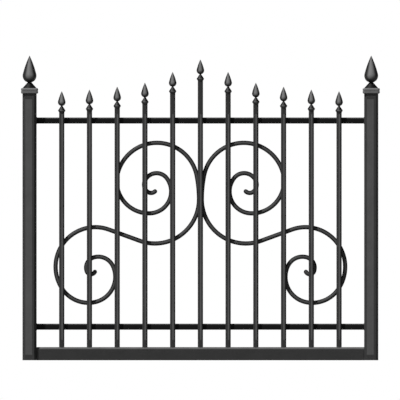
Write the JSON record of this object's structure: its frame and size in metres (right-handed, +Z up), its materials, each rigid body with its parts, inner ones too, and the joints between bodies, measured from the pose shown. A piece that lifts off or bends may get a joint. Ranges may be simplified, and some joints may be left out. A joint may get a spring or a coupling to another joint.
{
  "type": "wrought iron fence panel",
  "caption": "Fence panel of black wrought iron: square posts with drop finials, rising pickets on three rails, and a pair of mirrored scrolls behind them.",
  "frame": {"origin": "middle of the left post's foot face, on the ground", "axes": "+X along the fence to the right post, +Y from the front to the back, +Z up"},
  "size_m": [1.294, 0.062, 1.099],
  "materials": {
    "post_paint": "satin black paint",
    "cap_paint": "satin black paint",
    "finial_paint": "satin black paint, a little worn",
    "picket_paint": "satin black paint",
    "rail_paint": "flat black paint",
    "bottom_rail_paint": "satin black paint",
    "scroll_paint": "satin black paint"
  },
  "bodies": {
    "root": {"post_left": "post_paint", "post_foot_left": "post_paint", "post_cap_left": "cap_paint", "post_finial_left": "finial_paint", "post_right": "post_paint", "post_foot_right": "post_paint", "post_cap_right": "cap_paint", "post_finial_right": "finial_paint", "picket_01": "picket_paint", "picket_finial_01": "finial_paint", "picket_02": "picket_paint", "picket_finial_02": "finial_paint", "picket_03": "picket_paint", "picket_finial_03": "finial_paint", "picket_04": "picket_paint", "picket_finial_04": "finial_paint", "picket_05": "picket_paint", "picket_finial_05": "finial_paint", "picket_06": "picket_paint", "picket_finial_06": "finial_paint", "picket_07": "picket_paint", "picket_finial_07": "finial_paint", "picket_08": "picket_paint", "picket_finial_08": "finial_paint", "picket_09": "picket_paint", "picket_finial_09": "finial_paint", "picket_10": "picket_paint", "picket_finial_10": "finial_paint", "picket_11": "picket_paint", "picket_finial_11": "finial_paint", "top_rail": "rail_paint", "lower_rail": "rail_paint", "bottom_rail": "bottom_rail_paint", "scroll_left": "scroll_paint", "scroll_right": "scroll_paint"}
  },
  "joints": []
}
